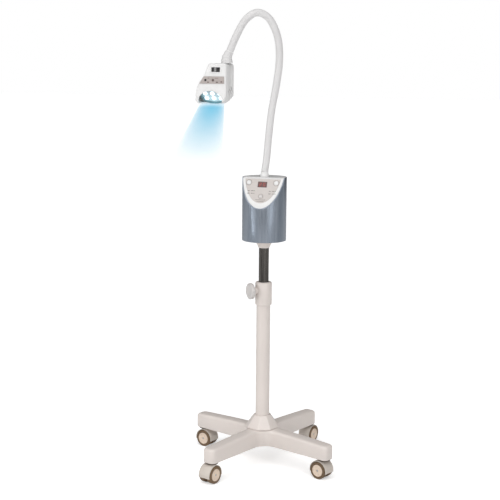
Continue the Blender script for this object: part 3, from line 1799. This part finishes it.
def makeCasters():
    shape = casterShape
    tread, disc = makeWheelParts()
    hood = makeHood()
    axleHalf = 0.0129 + 0.008 - 0.0014
    axle = turnPiece(
        "axlePin",
        [(0.0023, -axleHalf), (0.0029, -axleHalf + 0.0006), (0.0029, axleHalf - 0.0006), (0.0023, axleHalf)],
        32,
    )
    settle(axle, Matrix.Translation((-shape["trail"], 0, wheelHeight)) @ Matrix.Rotation(pi / 2, 4, "X"))
    smooth(axle, 40)
    seal = turnPiece(
        "swivelSeal",
        [
            (0.0128, 0.0541),
            (0.0172, 0.0541),
            (0.0178, 0.0547),
            (0.0178, 0.0568),
            (0.0172, 0.0574),
            (0.0128, 0.0574),
            (0.0128, 0.0541),
        ],
        56,
        True,
    )
    smooth(seal, 40)
    for name, (arm, heading) in casterHeadings.items():
        words = name.split("_")
        tag = words[0].capitalize() + words[1].capitalize()
        spot = Vector((shape["circle"] * cos(radians(arm)), shape["circle"] * sin(radians(arm)), 0))
        swivel = Matrix.Translation(spot) @ Matrix.Rotation(radians(heading), 4, "Z")
        for source, material, slot, nodeName in (
            (hood, hoodPlastic, "warm_paint", "caster_hood_"),
            (axle, zincSteel, "plain_steel", "caster_axle_"),
            (seal, sealBrown, "caster_tread", ""),
        ):
            piece = copyPiece(source, source.name + tag)
            settle(piece, swivel)
            finish(piece, "caster_" + name, material, slot, *([nodeName + name] if nodeName else []))
        for side, sign in (("left", 1), ("right", -1)):
            wheelPlace = swivel @ Matrix.Translation(
                (-shape["trail"], sign * shape["side"], wheelHeight),
            ) @ Matrix.Rotation(radians(-90 * sign), 4, "X")
            body = "wheel_%s_%s" % (name, side)
            for source, material in ((tread, treadRubber), (disc, discPlastic)):
                piece = copyPiece(source, source.name + tag + side.capitalize())
                settle(piece, wheelPlace)
                if source is tread:
                    finish(piece, body, material, "caster_tread", body)
                else:
                    finish(piece, body, material, "caster_tread")
    for source in (tread, disc, hood, axle, seal):
        bpy.data.objects.remove(source, do_unlink=True)


makeCasters()
print("casters made")


# stage, lights and camera
studio = {
    "back": 0.05,
    "front": 0.50,
    "top": 1.3,
    "topSoftness": 70,
    "topTilt": 24,
    "viewTurn": 14.5,
    "floorSize": 60,
    "floorGlow": 0.4,
    "stripWidth": 0.35,
    "stripHeight": 2.0,
    "strips": (("leftStrip", (-1.7, -1.9, 1.2), 13), ("rightStrip", (1.5, -1.7, 1.2), 9)),
}


def makeStage():
    bpy.ops.mesh.primitive_plane_add(size=studio["floorSize"], location=(0, 0, -0.0002))
    floor = nameNew("paleFloor")
    material, tree, shader = newMaterial("paleFloor")
    spread = noise(tree, objectCoords(tree), 6.0, 2.0)
    tree.links.new(
        colourMix(tree, spread, (0.955, 0.955, 0.955), (0.97, 0.97, 0.97)),
        shader.inputs["Base Color"],
    )
    shader.inputs["Roughness"].default_value = 0.95
    shader.inputs["Emission Color"].default_value = (1, 1, 1, 1)
    path = tree.nodes.new("ShaderNodeLightPath")
    seen = mathNode(tree, "MULTIPLY", path.outputs["Is Camera Ray"], studio["floorGlow"])
    tree.links.new(seen, shader.inputs["Emission Strength"])
    floor.data.materials.append(material)
    world = bpy.data.worlds.new("studio")
    world.use_nodes = True
    tree = world.node_tree
    background = tree.nodes["Background"]
    coords = tree.nodes.new("ShaderNodeTexCoord")
    dot = tree.nodes.new("ShaderNodeVectorMath")
    dot.operation = "DOT_PRODUCT"
    turn = radians(studio["viewTurn"])
    dot.inputs[1].default_value = (-sin(turn), cos(turn), 0.0)
    tree.links.new(coords.outputs["Generated"], dot.inputs[0])
    soft = mapRange(tree, dot.outputs["Value"], -0.1, 0.75, studio["front"], studio["back"])
    path = tree.nodes.new("ShaderNodeLightPath")
    seen = mathNode(tree, "MULTIPLY", path.outputs["Is Camera Ray"], 1.0)
    plain = mathNode(tree, "SUBTRACT", 1.0, seen)
    level = mathNode(tree, "ADD", mathNode(tree, "MULTIPLY", soft, plain), seen)
    tree.links.new(level, background.inputs["Strength"])
    background.inputs["Color"].default_value = (1, 1, 1, 1)
    bpy.context.scene.world = world
    bpy.ops.object.light_add(type="SUN", location=(0, 0, 4))
    sun = bpy.context.active_object
    sun.name = "topLight"
    sun.data.energy = studio["top"]
    sun.data.angle = radians(studio["topSoftness"])
    sun.rotation_euler = (radians(studio["topTilt"]), 0, radians(studio["viewTurn"] - 18))
    for name, spot, power in studio["strips"]:
        bpy.ops.object.light_add(type="AREA", location=spot)
        light = bpy.context.active_object
        light.name = name
        light.data.shape = "RECTANGLE"
        light.data.size = studio["stripWidth"]
        light.data.size_y = studio["stripHeight"]
        light.data.energy = power
        aim = Vector((0, 0, 1.0)) - Vector(spot)
        light.rotation_euler = aim.to_track_quat("-Z", "Y").to_euler()


beamShape = {
    "top": 1.052,
    "bottom": 0.868,
    "topRadius": 0.033,
    "bottomRadius": 0.080,
    "swing": -0.050,
    "blue": (0.07, 0.52, 0.78),
    "pale": (0.35, 0.70, 0.85),
    "strength": 0.66,
}


def makeBeam():
    # the curing light seen in the air under the lamps, only part of the picture and no piece of the object
    shape = beamShape
    centre = lensPlace @ Vector((0, 0, 0))
    clearSelection()
    depth = shape["top"] - shape["bottom"]
    bpy.ops.mesh.primitive_cone_add(
        vertices=64,
        radius1=shape["bottomRadius"],
        radius2=shape["topRadius"],
        depth=depth,
        end_fill_type="NOTHING",
        location=(centre.x, centre.y, shape["bottom"] + depth / 2),
    )
    beam = nameNew("lightBeam")
    bpy.ops.object.transform_apply(location=True, rotation=True, scale=True)
    for vert in beam.data.vertices:
        if vert.co.z < shape["bottom"] + 0.001:
            vert.co += Vector((shape["swing"], shape["swing"] * 0.3, 0))
    smooth(beam, 180)
    material, tree, shader = newMaterial("lightBeam")
    coords = tree.nodes.new("ShaderNodeTexCoord")
    parts = tree.nodes.new("ShaderNodeSeparateXYZ")
    tree.links.new(coords.outputs["Object"], parts.inputs[0])
    fade = mapRange(tree, parts.outputs["Z"], shape["bottom"], shape["top"] - 0.02)
    start = mapRange(tree, parts.outputs["Z"], shape["top"], shape["top"] - 0.02)
    facing = tree.nodes.new("ShaderNodeLayerWeight")
    facing.inputs["Blend"].default_value = 0.5
    middle = mathNode(tree, "SUBTRACT", 1.0, facing.outputs["Facing"])
    mist = mapRange(tree, noise(tree, coords.outputs["Object"], 30.0, 2.0), 0.2, 0.8, 0.9, 1.0)
    alpha = mathNode(
        tree,
        "MULTIPLY",
        mathNode(tree, "MULTIPLY", fade, start),
        mathNode(tree, "MULTIPLY", middle, mist),
    )
    tree.links.new(mathNode(tree, "MULTIPLY", alpha, shape["strength"]), shader.inputs["Alpha"])
    tree.links.new(colourMix(tree, fade, shape["pale"], shape["blue"]), shader.inputs["Emission Color"])
    shader.inputs["Emission Strength"].default_value = 1.0
    shader.inputs["Base Color"].default_value = (0, 0, 0, 1)
    shader.inputs["Specular IOR Level"].default_value = 0.0
    beam.data.materials.append(material)
    beam.visible_shadow = False
    beam.visible_diffuse = False
    beam.visible_glossy = False
    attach(beam, "head")


makeBeam()
makeStage()

cameraShape = {
    "turn": 14.5,
    "side": -0.0398,
    "distance": 3.2288,
    "height": 1.1724,
    "pitch": 9.56,
    "roll": 0.43,
    "focal": 1145.0,
}


def makeCamera():
    shape = cameraShape
    data = bpy.data.cameras.new("viewCamera")
    camera = bpy.data.objects.new("viewCamera", data)
    bpy.context.scene.collection.objects.link(camera)
    data.sensor_width = 36
    data.lens = shape["focal"] / 500 * 36
    turn = Matrix.Rotation(radians(shape["turn"]), 4, "Z")
    spot = turn @ Matrix.Translation((shape["side"], -shape["distance"], shape["height"]))
    camera.matrix_world = spot @ Matrix.Rotation(
        radians(90 - shape["pitch"]),
        4,
        "X",
    ) @ Matrix.Rotation(radians(shape["roll"]), 4, "Z")
    bpy.context.scene.camera = camera


makeCamera()
bpy.context.scene.view_settings.view_transform = "Standard"
print("stage made")
